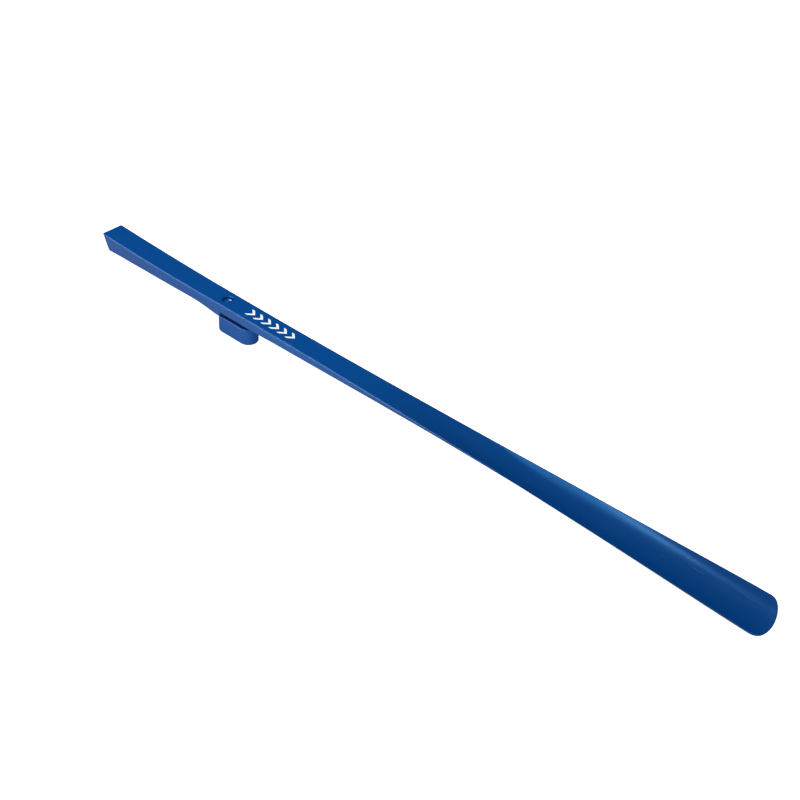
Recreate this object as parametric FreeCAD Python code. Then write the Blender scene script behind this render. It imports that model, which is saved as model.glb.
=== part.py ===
import FreeCAD, Part
import math
import os

from FreeCAD import Vector

os.makedirs("parts", exist_ok=True)

# Long plastic shoehorn hung on a small magnetic holder.
#
# Frame: millimetres, origin on the holder's flat mounting face, under the
# hanging peg. +X runs along the shoehorn towards the blade, +Z is the outward
# normal of the mounting face and of the shoehorn's front face, -Y and +Y are
# the two long sides. "Up" is +Z, and "lower" is nearer the mounting face.
#
# Lengths along the shoehorn are given as stations, measured from the end of
# the handle. Heights of the shoehorn are given as levels, measured from its
# flat front face (negative is behind the face).

# ------------------------------------------------------- shoehorn dimensions
LENGTH = 650.0            # overall length of the shoehorn
PEG_STATION = 134.2       # station of the hanging hole and of the peg
FACE_Z = 25.4             # height of the front face above the mounting face

# (station, half width of the shoehorn)
HALF_WIDTH = [
    (-30, 9.40), (0, 9.37), (60, 9.30), (120, 8.95), (160, 8.80),
    (200, 8.90), (300, 10.17), (400, 12.30), (500, 15.15),
    (580, 17.90), (625, 19.40), (650, 19.82), (690, 20.1)]
TIP_STATION = 636.5       # where the rounded tip starts
TIP_POWER = 2.5           # superellipse power of the tip
END_CORNER_R = 0.9        # corner radius of the handle end, in plan

HANDLE_RISE = 2.4         # how far the handle end bends up
HANDLE_RISE_LEN = 115.0
BLADE_DROP = 1.5          # how far the rim of the blade drops at the tip
BLADE_DROP_FROM = 430.0
TROUGH_DEPTH = 12.3       # depth of the trough at the tip
TROUGH_FROM = 330.0       # station where the trough starts
TROUGH_BLEND = 34.0       # half length of the soft start of the trough

SKIN_SHAFT = 1.9          # wall behind the front face, handle and shaft
SKIN_BLADE = 1.3          # wall of the blade, at its middle
SKIN_RIM = 0.6            # wall of the blade, at its rim
SKIN_THIN_FROM = 300.0    # station where the wall starts to thin
SKIN_BLADE_FROM = 520.0   # stations where it reaches the blade's values
SKIN_RIM_FROM = 440.0
SKIRT_T = 1.9             # side wall thickness
END_WALL_T = 1.9          # end wall of the handle, along X
END_TOP_RAISE = 0.02      # end plane's top point, above the rim
END_BOTTOM_STATION = 6.5  # station of the end wall's lower edge
END_BOTTOM_LEVEL = -9.75

# lower edge of the side walls: (station, level)
SEAT_LEVEL = -7.85        # flat seat over the holder
SEAT_Z = FACE_Z + SEAT_LEVEL
SKIRT_HANDLE = [
    (-6, -10.05), (6.5, -9.75), (25, -9.45), (46, -9.18), (67, -9.02),
    (88, -8.82), (100, -8.7), (107, -8.76), (114, -9.12), (120, -9.82),
    (126, -10.68), (129.5, -11.12), (132, -11.3), (134.3, -11.35)]
SKIRT_SHAFT = [
    (168, SEAT_LEVEL), (180, -7.4), (192, -6.98), (205, -6.65),
    (218, -6.37), (231, -6.05), (244, -5.72), (256, -5.38),
    (269, -4.99), (282, -4.58), (294, -4.2), (307, -3.82),
    (319, -3.47), (331, -3.11), (343, -2.75), (355, -2.42),
    (367, -2.15), (379, -1.92), (391, -1.69), (403, -1.48),
    (415, -1.28), (430, -1.05), (450, -0.75)]

RECESS_R = 7.05           # round recess over the pivot washer
HOLE_D = 9.0              # hanging hole
HOLE_CHAMFER = 0.5

RIB_T = 1.4
RIB_INSET = 1.0           # ribs stop this far short of the side walls' edge
RIBS_HANDLE = [34.0, 62.0, 90.0]
RIBS_SHAFT = [172.0, 202.0, 232.0, 262.0, 292.0, 322.0, 352.0]
POCKETS_START = -30.0     # beyond the handle end
CAVITY_HANDLE_END = 124.6   # the seat block round the hole starts here
CAVITY_SHAFT_START = 144.5  # and ends here
CAVITY_END = 470.0

# printed mark: a row of arrow chevrons pointing to +X
MARK_FIRST = 157.0        # station of the first chevron's arm ends
MARK_COUNT = 6
MARK_PITCH = 8.6
MARK_HALF_H = 3.9         # along Y
MARK_DEPTH = 4.6          # how far the point leads the arms
MARK_STROKE = 2.8         # along X
MARK_LEVEL = 0.004
MARK_T = 0.06

# --------------------------------------------------------- holder dimensions
HOLDER_R = 7.5            # radius of the round ends, half of the width
HOLDER_X0 = 0.5           # centre of the round end under the peg
HOLDER_PITCH = 21.8       # distance between the centres of the round ends
HOLDER_X1 = HOLDER_X0 + HOLDER_PITCH
HOLDER_MID = HOLDER_X0 + HOLDER_PITCH / 2
PAD_INSET = 0.45
CASE_WALL = 1.5
CASE_TOP_T = 1.75
CASE_EDGE_R = 0.6
CAVITY_R = HOLDER_R - CASE_WALL
LEDGE_R = 5.1             # narrower cavity above the yoke plate
COVER_R = 6.5
REBATE_R = COVER_R + 0.06
YOKE_R = CAVITY_R - 0.15
YOKE_HOLE_GAP = 0.5       # on the post's diameter
POST_D = 5.0
MAGNET_D = 10.0
MAGNET_CHAMFER = 0.3

# stack of the holder, from the mounting face up
PAD_T = 0.5               # non-slip pad
COVER_T = 1.5
MAGNET_T = 4.5
YOKE_T = 1.2
COVER_TOP_Z = PAD_T + COVER_T
MAGNET_TOP_Z = COVER_TOP_Z + MAGNET_T
YOKE_TOP_Z = MAGNET_TOP_Z + YOKE_T
HOLDER_TOP = 13.4         # height of the case's top face
ROOF_Z = HOLDER_TOP - CASE_TOP_T  # underside of the case's top wall

FIT = 0.04                # added to hole diameters, and to the countersink's radius
SCREW_TIP_GAP = 0.6       # hole depth left beyond a screw's tip

COVER_SCREW_D = 2.2
COVER_SCREW_HEAD_D = 4.4
COVER_SCREW_LEN = 6.9     # above the cover
COVER_SCREW_SINK = (COVER_SCREW_HEAD_D - COVER_SCREW_D) / 2
COVER_HOLE_GAP = 0.3      # on the screw's diameter

PEG_NECK_D = 7.0
PEG_HEAD_D = 8.0
PEG_SPIGOT_D = 5.0
PEG_NECK_TOP_Z = 19.4
PEG_HEAD_LOW_Z = 20.2
PEG_HEAD_MID_Z = 21.0
PEG_DOME = 1.5            # height of the dome
PEG_TIP_Z = 25.0
PEG_SCREW_D = 2.5
PEG_SCREW_HEAD_D = 5.6
PEG_SCREW_HEAD_T = 1.9
PEG_SCREW_HEAD_EDGE_R = 0.6
PEG_SCREW_LEN = 8.0

WASHER_OD = 13.6
WASHER_EDGE_R = 0.35
WASHER_CLEARANCE = 0.08   # radial, on the peg's neck
WASHER_GAP = 0.03         # axial, each face

REACH = 60.0              # takes cutting solids well past the shoehorn
PLAN_Z = (-40, 80)        # height range of the plan prisms
OVER = 1.0                # takes cutting solids past a face


# ------------------------------------------------------------------- helpers
def row(station, y, level):
    return Vector(station - PEG_STATION, y, level + FACE_Z)


def plan_point(station, y):
    return Vector(station - PEG_STATION, y, 0)


def spline(points):
    """Natural cubic spline through (x, y) points, as a function of x."""
    xs = [float(p[0]) for p in points]
    ys = [float(p[1]) for p in points]
    count = len(xs)
    gap = [xs[i + 1] - xs[i] for i in range(count - 1)]
    # tridiagonal system for the second derivatives
    before, pivot = [0.0] * count, [1.0] * count
    after, load = [0.0] * count, [0.0] * count
    for i in range(1, count - 1):
        before[i], after[i] = gap[i - 1], gap[i]
        pivot[i] = 2.0 * (gap[i - 1] + gap[i])
        load[i] = 6.0 * ((ys[i + 1] - ys[i]) / gap[i]
                         - (ys[i] - ys[i - 1]) / gap[i - 1])
    for i in range(1, count):
        factor = before[i] / pivot[i - 1]
        pivot[i] -= factor * after[i - 1]
        load[i] -= factor * load[i - 1]
    second = [0.0] * count
    second[-1] = load[-1] / pivot[-1]
    for i in range(count - 2, -1, -1):
        second[i] = (load[i] - after[i] * second[i + 1]) / pivot[i]

    def value(x):
        i = 0
        while i < count - 2 and x > xs[i + 1]:
            i += 1
        past, left, span = x - xs[i], xs[i + 1] - x, gap[i]
        return (second[i] * left ** 3 / (6 * span) + second[i + 1] * past ** 3 / (6 * span)
                + (ys[i] / span - second[i] * span / 6) * left
                + (ys[i + 1] / span - second[i + 1] * span / 6) * past)
    return value


def bspline(points):
    curve = Part.BSplineCurve()
    curve.interpolate(points)
    return curve.toShape()


def sorted_wire(edges):
    return Part.Wire(Part.__sortEdges__(edges))


def closed_polygon(points):
    return Part.makePolygon(points + [points[0]])


def prism_z(wire, bottom, top):
    face = Part.Face(wire)
    face.translate(Vector(0, 0, bottom))
    return face.extrude(Vector(0, 0, top - bottom))


def prism_y(wire):
    """Prism across the whole width, from a wire in the XZ plane."""
    face = Part.Face(wire)
    face.translate(Vector(0, -REACH, 0))
    return face.extrude(Vector(0, 2 * REACH, 0))


def stadium(radius, bottom, top):
    """Stadium prism over the two centres of the holder's round ends."""
    start_near, end_near = Vector(HOLDER_X0, -radius, 0), Vector(HOLDER_X1, -radius, 0)
    end_far, start_far = Vector(HOLDER_X1, radius, 0), Vector(HOLDER_X0, radius, 0)
    wire = Part.Wire([
        Part.makeLine(start_near, end_near),
        Part.Arc(end_near, Vector(HOLDER_X1 + radius, 0, 0), end_far).toShape(),
        Part.makeLine(end_far, start_far),
        Part.Arc(start_far, Vector(HOLDER_X0 - radius, 0, 0), start_near).toShape()])
    return prism_z(wire, bottom, top)


def cyl(diameter, bottom, top, x=0.0):
    return Part.makeCylinder(diameter / 2.0, top - bottom, Vector(x, 0, bottom),
                             Vector(0, 0, 1))


def edges_at(shape, z):
    return [edge for edge in shape.Edges
            if all(abs(v.Z - z) < 1e-6 for v in edge.Vertexes)]


def rims(shape, diameter):
    """The circular edges of a flat disc, without its seam."""
    return [edge for edge in shape.Edges if edge.Length > diameter]


def cut_cross(screw, length, width, depth, z, x=0.0):
    """Cut a cross recess upwards into a screw head whose lower face is at z."""
    margin = 0.1
    for angle in (0, 90):
        slot = Part.makeBox(length, width, depth + margin,
                            Vector(-length / 2, -width / 2, z - margin))
        slot.rotate(Vector(0, 0, 0), Vector(0, 0, 1), angle)
        slot.translate(Vector(x, 0, 0))
        screw = screw.cut(slot)
    return screw


def save(name, shape):
    if shape.ShapeType != "Compound":
        shape = shape.removeSplitter()
    solids = shape.Solids
    out = solids[0] if len(solids) == 1 else Part.makeCompound(solids)
    assert out.isValid(), name
    out.exportStep("parts/%s.step" % name)


# --------------------------------------------------------- shoehorn surfaces
# "across" is y as a fraction of the half width, -1 to 1 between the sides.
half_width = spline(HALF_WIDTH)


def rim_level(station):
    rise = HANDLE_RISE * max(0.0, 1.0 - station / HANDLE_RISE_LEN) ** 2
    along = (station - BLADE_DROP_FROM) / (LENGTH - BLADE_DROP_FROM)
    return rise - BLADE_DROP * max(0.0, along) ** 1.5


def trough(station):
    """Depth of the trough: a straight slope with a parabolic start."""
    past = station - TROUGH_FROM
    if past <= -TROUGH_BLEND:
        run = 0.0
    elif past < TROUGH_BLEND:
        run = (past + TROUGH_BLEND) ** 2 / (4 * TROUGH_BLEND)
    else:
        run = past
    return TROUGH_DEPTH * run / (LENGTH - TROUGH_FROM)


def ease(station, start, end, first, last):
    """Smooth change from first to last between two stations."""
    part = min(1.0, max(0.0, (station - start) / (end - start)))
    return first + (last - first) * part * part * (3 - 2 * part)


def skin(station, across):
    """Wall thickness: the blade's wall thins out towards its rim."""
    middle = ease(station, SKIN_THIN_FROM, SKIN_BLADE_FROM, SKIN_SHAFT, SKIN_BLADE)
    rim = ease(station, SKIN_THIN_FROM, SKIN_RIM_FROM, SKIN_SHAFT, SKIN_RIM)
    return middle + (rim - middle) * across ** 4


def front(station, across):
    """Level of the front surface."""
    return rim_level(station) - trough(station) * (1 - across * across)


def back(station, across):
    """Level of the wall's back surface, one skin thickness behind the front."""
    slope = 2 * trough(station) * across / half_width(station)
    return front(station, across) - skin(station, across) * math.sqrt(1 + slope * slope)


def below(level_at, start, end, side):
    """Everything below a surface that spans -side to side of the half width."""
    spans = 56
    grid = []
    for i in range(spans + 1):
        station = start + (end - start) * i / spans
        grid.append([row(station, across * half_width(station), level_at(station, across))
                     for across in [side * (k / 6.0 - 1.0) for k in range(13)]])
    surface = Part.BSplineSurface()
    surface.interpolate(grid)
    return surface.toShape().extrude(Vector(0, 0, -REACH))


# ------------------------------------------------------------- shoehorn body
def plan_edge(inset, start, end, spans, sign):
    stations = [start + (end - start) * i / spans for i in range(spans + 1)]
    return [plan_point(s, sign * (half_width(s) - inset)) for s in stations]


def plan_prism():
    """Outline in plan: side, rounded tip, side, handle end with round corners."""
    near = plan_edge(0.0, END_CORNER_R, TIP_STATION, 30, -1)
    far = [Vector(p.x, -p.y, p.z) for p in near]
    tip_half = half_width(TIP_STATION)
    tip = []
    for i in range(41):
        angle = math.pi * i / 40.0 - math.pi / 2
        cosine, sine = abs(math.cos(angle)), math.sin(angle)
        along = (LENGTH - TIP_STATION) * cosine ** (2.0 / TIP_POWER)
        y = math.copysign(tip_half * abs(sine) ** (2.0 / TIP_POWER), sine)
        tip.append(plan_point(TIP_STATION + along, y))
    end_half = half_width(END_CORNER_R)
    flat_half = end_half - END_CORNER_R
    bulge = END_CORNER_R * (1 - math.sqrt(0.5))
    corner_near = Part.Arc(near[0], plan_point(bulge, -(end_half - bulge)),
                           plan_point(0, -flat_half)).toShape()
    corner_far = Part.Arc(plan_point(0, flat_half), plan_point(bulge, end_half - bulge),
                          far[0]).toShape()
    return prism_z(sorted_wire([
        bspline(near), bspline(tip), bspline(list(reversed(far))), corner_far,
        Part.makeLine(plan_point(0, flat_half), plan_point(0, -flat_half)),
        corner_near]), *PLAN_Z)


def inner_prism():
    """Plan of the space between the side walls."""
    start = -20.0
    near = plan_edge(SKIRT_T, start, CAVITY_END, 24, -1)
    far = plan_edge(SKIRT_T, start, CAVITY_END, 24, 1)
    return prism_z(sorted_wire([
        bspline(near), Part.makeLine(near[-1], far[-1]),
        bspline(list(reversed(far))), Part.makeLine(far[0], near[0])]), *PLAN_Z)


def end_cutter(offset):
    """Everything beyond the slanted handle end, moved along X by offset."""
    top = row(0, 0, rim_level(0) + END_TOP_RAISE)
    low = row(END_BOTTOM_STATION, 0, END_BOTTOM_LEVEL)
    slope = (low.x - top.x) / (low.z - top.z)
    far_x = -320
    slanted = [Vector(top.x + slope * (z - top.z) + offset, 0, z) for z in (REACH, -REACH)]
    return prism_y(closed_polygon(
        slanted + [Vector(far_x, 0, -REACH), Vector(far_x, 0, REACH)]))


def under_profile(lift):
    """Everything below the side walls' lower edge, raised by lift, and
    everything past the edge's last station."""
    handle = [row(s, 0, level + lift) for s, level in SKIRT_HANDLE]
    shaft = [row(s, 0, level + lift) for s, level in SKIRT_SHAFT]
    seat_start = row(SKIRT_HANDLE[-1][0], 0, SEAT_LEVEL + lift)
    far_x = 560
    border = [shaft[-1], Vector(shaft[-1].x, 0, REACH), Vector(far_x, 0, REACH),
              Vector(far_x, 0, -REACH), Vector(handle[0].x, 0, -REACH), handle[0]]
    edges = [bspline(handle), Part.makeLine(handle[-1], seat_start),
             Part.makeLine(seat_start, shaft[0]), bspline(shaft)]
    edges += [Part.makeLine(p, q) for p, q in zip(border, border[1:])]
    return prism_y(sorted_wire(edges))


def slab(start, end):
    """Box over the whole section between two stations."""
    return Part.makeBox(end - start, 80, 2 * REACH,
                        Vector(start - PEG_STATION, -40, -REACH))


def pocket_spans(start, ribs, end):
    """(start, end) stations of the pockets between ribs."""
    starts = [start] + [rib + RIB_T / 2 for rib in ribs]
    ends = [rib - RIB_T / 2 for rib in ribs] + [end]
    return list(zip(starts, ends))


def shoehorn_body():
    # both surfaces overhang the plan outline
    below_front = below(front, -14.0, 664.0, 1.25)
    below_back = below(back, -16.0, 666.0, 1.12)
    body = below_front.common(plan_prism())
    body = body.cut(end_cutter(0.0))

    # lower edge of the side walls, and the open back of the blade
    body = body.cut(below_back.common(under_profile(0.0)))

    # hollow back of the handle and shaft, in pockets between ribs
    hollow = below_back.common(inner_prism()).cut(end_cutter(END_WALL_T))
    for start, end in (pocket_spans(POCKETS_START, RIBS_HANDLE, CAVITY_HANDLE_END)
                       + pocket_spans(CAVITY_SHAFT_START, RIBS_SHAFT, CAVITY_END)):
        body = body.cut(hollow.common(slab(start, end)))
    # the ribs stop short of the side walls' lower edge
    lifted = hollow.common(under_profile(RIB_INSET))
    for rib in RIBS_HANDLE + RIBS_SHAFT:
        body = body.cut(lifted.common(slab(rib - RIB_T, rib + RIB_T)))

    # round recess below the seat, and the hanging hole, chamfered at both faces
    body = body.cut(cyl(2 * RECESS_R, -REACH, SEAT_Z))
    body = body.cut(cyl(HOLE_D, -10, REACH))
    hole_r, wide_r = HOLE_D / 2, HOLE_D / 2 + 2 * HOLE_CHAMFER
    for z, low_r, high_r in ((FACE_Z, hole_r, wide_r), (SEAT_Z, wide_r, hole_r)):
        body = body.cut(Part.makeCone(low_r, high_r, 2 * HOLE_CHAMFER,
                                      Vector(0, 0, z - HOLE_CHAMFER)))
    return body


def printed_mark():
    chevrons = []
    for i in range(MARK_COUNT):
        start = MARK_FIRST + i * MARK_PITCH
        lead = start + MARK_STROKE
        corners = [(start, MARK_HALF_H), (lead, MARK_HALF_H), (lead + MARK_DEPTH, 0),
                   (lead, -MARK_HALF_H), (start, -MARK_HALF_H), (start + MARK_DEPTH, 0)]
        face = Part.Face(closed_polygon([row(s, y, MARK_LEVEL) for s, y in corners]))
        chevrons.append(face.extrude(Vector(0, 0, MARK_T)))
    return Part.makeCompound(chevrons)


# -------------------------------------------------------------------- holder
def holder_case():
    case = stadium(HOLDER_R, PAD_T, HOLDER_TOP)
    case = case.makeFillet(CASE_EDGE_R, edges_at(case, HOLDER_TOP))
    # stepped cavity: cover rebate, magnets and yoke, space under the roof
    case = case.cut(stadium(REBATE_R, PAD_T - OVER, COVER_TOP_Z + 0.01))
    case = case.cut(stadium(CAVITY_R, PAD_T - OVER, YOKE_TOP_Z + 0.02))
    case = case.cut(stadium(LEDGE_R, PAD_T - OVER, ROOF_Z))
    # screw post, running into the roof
    case = case.fuse(cyl(POST_D, COVER_TOP_Z + 0.05, ROOF_Z + 0.5, HOLDER_MID))
    case = case.cut(cyl(COVER_SCREW_D + FIT, COVER_TOP_Z - OVER,
                        COVER_TOP_Z + COVER_SCREW_LEN + SCREW_TIP_GAP, HOLDER_MID))
    return case.cut(cyl(PEG_SPIGOT_D + FIT, ROOF_Z - OVER, HOLDER_TOP + OVER))


def hang_peg():
    # (radius, z) of the spigot, neck and lower head
    profile = [
        (0, ROOF_Z), (PEG_SPIGOT_D / 2, ROOF_Z), (PEG_SPIGOT_D / 2, HOLDER_TOP),
        (PEG_NECK_D / 2, HOLDER_TOP), (PEG_NECK_D / 2, PEG_NECK_TOP_Z),
        (PEG_HEAD_D / 2, PEG_HEAD_LOW_Z), (PEG_HEAD_D / 2, PEG_HEAD_MID_Z),
        (0, PEG_HEAD_MID_Z)]
    wire = closed_polygon([Vector(x, 0, z) for x, z in profile])
    peg = Part.Face(wire).revolve(Vector(0, 0, 0), Vector(0, 0, 1), 360)
    ball_r = ((PEG_HEAD_D / 2) ** 2 + PEG_DOME ** 2) / (2 * PEG_DOME)
    ball = Part.makeSphere(ball_r, Vector(0, 0, PEG_TIP_Z - ball_r))
    dome = cyl(PEG_HEAD_D, PEG_HEAD_MID_Z, PEG_TIP_Z + OVER).common(ball)
    peg = peg.fuse(dome).removeSplitter()
    return peg.cut(cyl(PEG_SCREW_D + FIT, ROOF_Z - OVER,
                       ROOF_Z + PEG_SCREW_LEN + SCREW_TIP_GAP))


def peg_screw():
    head_z = ROOF_Z - PEG_SCREW_HEAD_T
    screw = cyl(PEG_SCREW_D, ROOF_Z - 0.2, ROOF_Z + PEG_SCREW_LEN)
    head = cyl(PEG_SCREW_HEAD_D, head_z, ROOF_Z)
    head = head.makeFillet(PEG_SCREW_HEAD_EDGE_R, edges_at(head, head_z))
    return cut_cross(screw.fuse(head), length=3.2, width=0.7, depth=1.0, z=head_z)


def magnet(x):
    disc = cyl(MAGNET_D, COVER_TOP_Z, MAGNET_TOP_Z, x)
    return disc.makeChamfer(MAGNET_CHAMFER, rims(disc, MAGNET_D))


def yoke_plate():
    yoke = stadium(YOKE_R, MAGNET_TOP_Z, YOKE_TOP_Z)
    return yoke.cut(cyl(POST_D + YOKE_HOLE_GAP, MAGNET_TOP_Z - OVER, YOKE_TOP_Z + OVER,
                        HOLDER_MID))


def countersink(gap):
    """Cone of the cover screw's head, grown by gap on the radius."""
    return Part.makeCone(COVER_SCREW_HEAD_D / 2 + gap, COVER_SCREW_D / 2 + gap,
                         COVER_SCREW_SINK, Vector(HOLDER_MID, 0, PAD_T))


def back_cover():
    cover = stadium(COVER_R, PAD_T, COVER_TOP_Z)
    cover = cover.cut(cyl(COVER_SCREW_D + COVER_HOLE_GAP, PAD_T - OVER,
                          COVER_TOP_Z + OVER, HOLDER_MID))
    return cover.cut(countersink(FIT))


def cover_screw():
    screw = countersink(0.0).fuse(cyl(COVER_SCREW_D, PAD_T + COVER_SCREW_SINK - 0.01,
                                      COVER_TOP_Z + COVER_SCREW_LEN, HOLDER_MID))
    return cut_cross(screw, length=2.6, width=0.6, depth=0.6, z=PAD_T, x=HOLDER_MID)


def pivot_washer():
    """Washer round the peg's neck, between the case and the seat."""
    washer = cyl(WASHER_OD, HOLDER_TOP + WASHER_GAP, SEAT_Z - WASHER_GAP)
    washer = washer.makeFillet(WASHER_EDGE_R, rims(washer, WASHER_OD))
    return washer.cut(cyl(PEG_NECK_D + 2 * WASHER_CLEARANCE, 0, 40))


save("shoehorn_body", shoehorn_body())
save("printed_mark", printed_mark())
save("holder_case", holder_case())
save("hang_peg", hang_peg())
save("peg_screw", peg_screw())
save("upper_magnet", magnet(HOLDER_X0))
save("lower_magnet", magnet(HOLDER_X1))
save("yoke_plate", yoke_plate())
save("back_cover", back_cover())
save("cover_screw", cover_screw())
save("back_pad", stadium(HOLDER_R - PAD_INSET, 0.0, PAD_T))
save("pivot_washer", pivot_washer())
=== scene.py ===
"""A long moulded shoehorn hanging on its holder's peg, lying face up on a pale floor.

X runs along the shoehorn from the handle end (-X) to the blade tip (+X), Y across it,
and Z up. The peg axis is the origin of X and Y, and the holder's pad rests on Z = 0.
Sizes are in millimetres until a mesh is made. A "row" is the distance in mm from the
handle end, and a "level" is the height in mm above the front face at the peg.
Lights and camera are in metres. The camera looks from +X, -Y and above.
"""
import math

import bmesh
import bpy
import numpy as np
from mathutils import Matrix, Vector

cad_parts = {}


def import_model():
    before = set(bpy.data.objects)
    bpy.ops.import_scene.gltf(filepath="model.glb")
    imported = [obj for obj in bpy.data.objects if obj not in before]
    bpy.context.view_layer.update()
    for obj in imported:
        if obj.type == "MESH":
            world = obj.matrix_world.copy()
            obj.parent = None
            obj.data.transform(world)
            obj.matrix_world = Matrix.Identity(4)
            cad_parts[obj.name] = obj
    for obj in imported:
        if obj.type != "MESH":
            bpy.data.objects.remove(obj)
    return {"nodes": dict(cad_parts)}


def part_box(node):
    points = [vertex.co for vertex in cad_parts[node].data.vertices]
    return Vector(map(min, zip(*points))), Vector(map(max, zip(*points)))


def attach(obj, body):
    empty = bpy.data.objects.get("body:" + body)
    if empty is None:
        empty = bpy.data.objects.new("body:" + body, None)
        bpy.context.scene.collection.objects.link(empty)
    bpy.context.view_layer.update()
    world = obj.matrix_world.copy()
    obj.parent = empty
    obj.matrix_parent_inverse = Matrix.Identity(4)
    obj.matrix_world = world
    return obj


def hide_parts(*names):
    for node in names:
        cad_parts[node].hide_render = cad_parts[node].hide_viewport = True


cad_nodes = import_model()["nodes"]
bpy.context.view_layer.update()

MM = 0.001
scene = bpy.context.scene

# ------------------------------------------------- places taken from the CAD
MARK_LIFT = 0.004               # gap between the front face and the print
FACE_Z = round(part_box("printed_mark")[0].z / MM - MARK_LIFT, 2)
CASE_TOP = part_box("holder_case")[1].z / MM
PEG_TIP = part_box("hang_peg")[1].z / MM
WASHER_LOW, WASHER_TOP = (corner.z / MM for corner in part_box("pivot_washer"))

# ------------------------------------------------------------- shoehorn sizes
LENGTH = 650.0
PEG_ROW = 134.2
# (row, half width)
HALF_WIDTH = [(-30, 9.40), (0, 9.37), (60, 9.30), (120, 8.95), (160, 8.80),
              (200, 8.90), (300, 10.17), (400, 12.30), (500, 15.15),
              (580, 17.90), (625, 19.40), (650, 19.82), (690, 20.1)]
TIP_ROW, TIP_POWER = 636.5, 2.5         # the tip is a superellipse from this row on
END_R = 0.9                             # plan corners of the handle end
END_SHEAR = 6.5 / 12.15                 # slant of the handle end, along / down
SHEAR_END, SHEAR_RUN = 30.0, 26.0       # the slant fades out towards this row
HANDLE_RISE, HANDLE_RISE_LEN = 2.4, 115.0
BLADE_DROP, BLADE_DROP_FROM = 1.5, 430.0
TROUGH_DEPTH, TROUGH_FROM, TROUGH_BLEND = 12.3, 330.0, 34.0

SKIN_SHAFT, SKIN_BLADE, SKIN_RIM = 1.9, 1.3, 0.6        # wall thicknesses
SKIN_THIN_FROM, SKIN_BLADE_ROW, SKIN_RIM_ROW = 300.0, 520.0, 440.0
SKIRT_T = 1.9                           # thickness of the side walls
# (row, level of the side walls' lower edge), up to the step under the seat
SKIRT_HANDLE = [(-6, -10.05), (6.5, -9.75), (25, -9.45), (46, -9.18), (67, -9.02),
                (88, -8.82), (100, -8.7), (107, -8.76), (114, -9.12),
                (120, -9.82), (126, -10.68), (129.5, -11.12), (132, -11.3),
                (134.3, -11.35)]
STEP_ROW, SEAT_LEVEL = 134.3, -7.85     # the lower edge steps up to the seat here
SEAT_END = 168.0
# (row, level), from the end of the seat
SKIRT_SHAFT = [(168, -7.85), (180, -7.4), (192, -6.98), (205, -6.65),
               (218, -6.37), (231, -6.05), (244, -5.72), (256, -5.38),
               (269, -4.99), (282, -4.58), (294, -4.2), (307, -3.82),
               (319, -3.47), (331, -3.11), (343, -2.75), (355, -2.42),
               (367, -2.15), (379, -1.92), (391, -1.69), (403, -1.48),
               (415, -1.28), (430, -1.05), (450, -0.75)]
SKIRT_END = 450.0
NO_SKIRT = 90.0                         # a level above everything: no side wall

RIBS = [34.0, 62.0, 90.0, 172.0, 202.0, 232.0, 262.0, 292.0, 322.0, 352.0]
RIB_T, RIB_INSET = 1.4, 1.0
BLOCK_START, BLOCK_END = 124.6, 144.5   # solid seat block round the hole
WALL_HALF = 0.1                         # half the run of a steep wall
ROOT_R, LIP_R = 0.5, 0.3                # root fillet and lip rounding of walls
STEP_ROOT_R, STEP_LIP_R = 0.45, 0.35
EDGE_R, LOW_EDGE_R = 0.45, 0.35         # front and lower edges of the outline
INNER_INSET = SKIRT_T + WALL_HALF + ROOT_R      # where the inner sheet starts
# insets from the outline of the points across the side wall's underside
UNDER_INSETS = ([0.7, 1.1]
                + [SKIRT_T + offset for offset in (-0.4, -0.3, -0.2, -0.1, 0.1, 0.2, 0.33, 0.47)]
                + [INNER_INSET])

HOLE_R, HOLE_ROUND = 4.5, 0.5
RECESS_R = 7.05                         # flat recess for the washer
# shallow round dents in the hidden side: (depth, rows)
EJECTOR_MARKS = [(0.16, (20.0, 48.0, 76.0, 106.0, 187.0, 217.0, 247.0, 277.0, 307.0, 337.0)),
                 (0.22, (470.0, 560.0))]
EJECTOR_R, EJECTOR_SOFT = 2.1, 0.06
EJECTOR_SHIFT = (0.037, 0.113)          # X and Y shift off the row and centreline

# mesh density along and across
ROW_STEP_HANDLE, ROW_STEP_SHAFT, ROW_STEP_CHANGE = 2.0, 2.6, 170
MIN_ROW_GAP = 0.5
FEATURE_ROWS = (-0.6, -0.47, -0.33, -0.2, -0.1, 0.1, 0.2, 0.3, 0.4)
STEP_ROWS = (-0.6, -0.45, -0.3, -0.2, -0.1, 0.1, 0.22, 0.33, 0.45)
CORNER_STEPS, TIP_STEPS, ACROSS_STEPS = 8, 46, 36
ACROSS = [2.0 * i / ACROSS_STEPS - 1 for i in range(ACROSS_STEPS + 1)]


# --------------------------------------------------------------- curve helpers
def natural_spline(points):
    """Natural cubic spline through (x, y) points, as a function of x."""
    xs, ys = zip(*points)
    last = len(xs) - 1
    gaps = [xs[i + 1] - xs[i] for i in range(last)]
    slopes = [(ys[i + 1] - ys[i]) / gaps[i] for i in range(last)]
    diagonal, rhs, bend = [1.0] * last, [0.0] * last, [0.0] * (last + 1)
    for i in range(1, last):
        diagonal[i] = 2.0 * (gaps[i - 1] + gaps[i])
        rhs[i] = 6.0 * (slopes[i] - slopes[i - 1])
        if i > 1:
            factor = gaps[i - 1] / diagonal[i - 1]
            diagonal[i] -= factor * gaps[i - 1]
            rhs[i] -= factor * rhs[i - 1]
    for i in range(last - 1, 0, -1):
        bend[i] = (rhs[i] - gaps[i] * bend[i + 1]) / diagonal[i]

    def value(x):
        i = 0
        while i < last - 1 and x > xs[i + 1]:
            i += 1
        gap, after, before = gaps[i], x - xs[i], xs[i + 1] - x
        return (bend[i] * before ** 3 / (6 * gap) + bend[i + 1] * after ** 3 / (6 * gap)
                + (ys[i] / gap - bend[i] * gap / 6) * before
                + (ys[i + 1] / gap - bend[i + 1] * gap / 6) * after)
    return value


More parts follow.
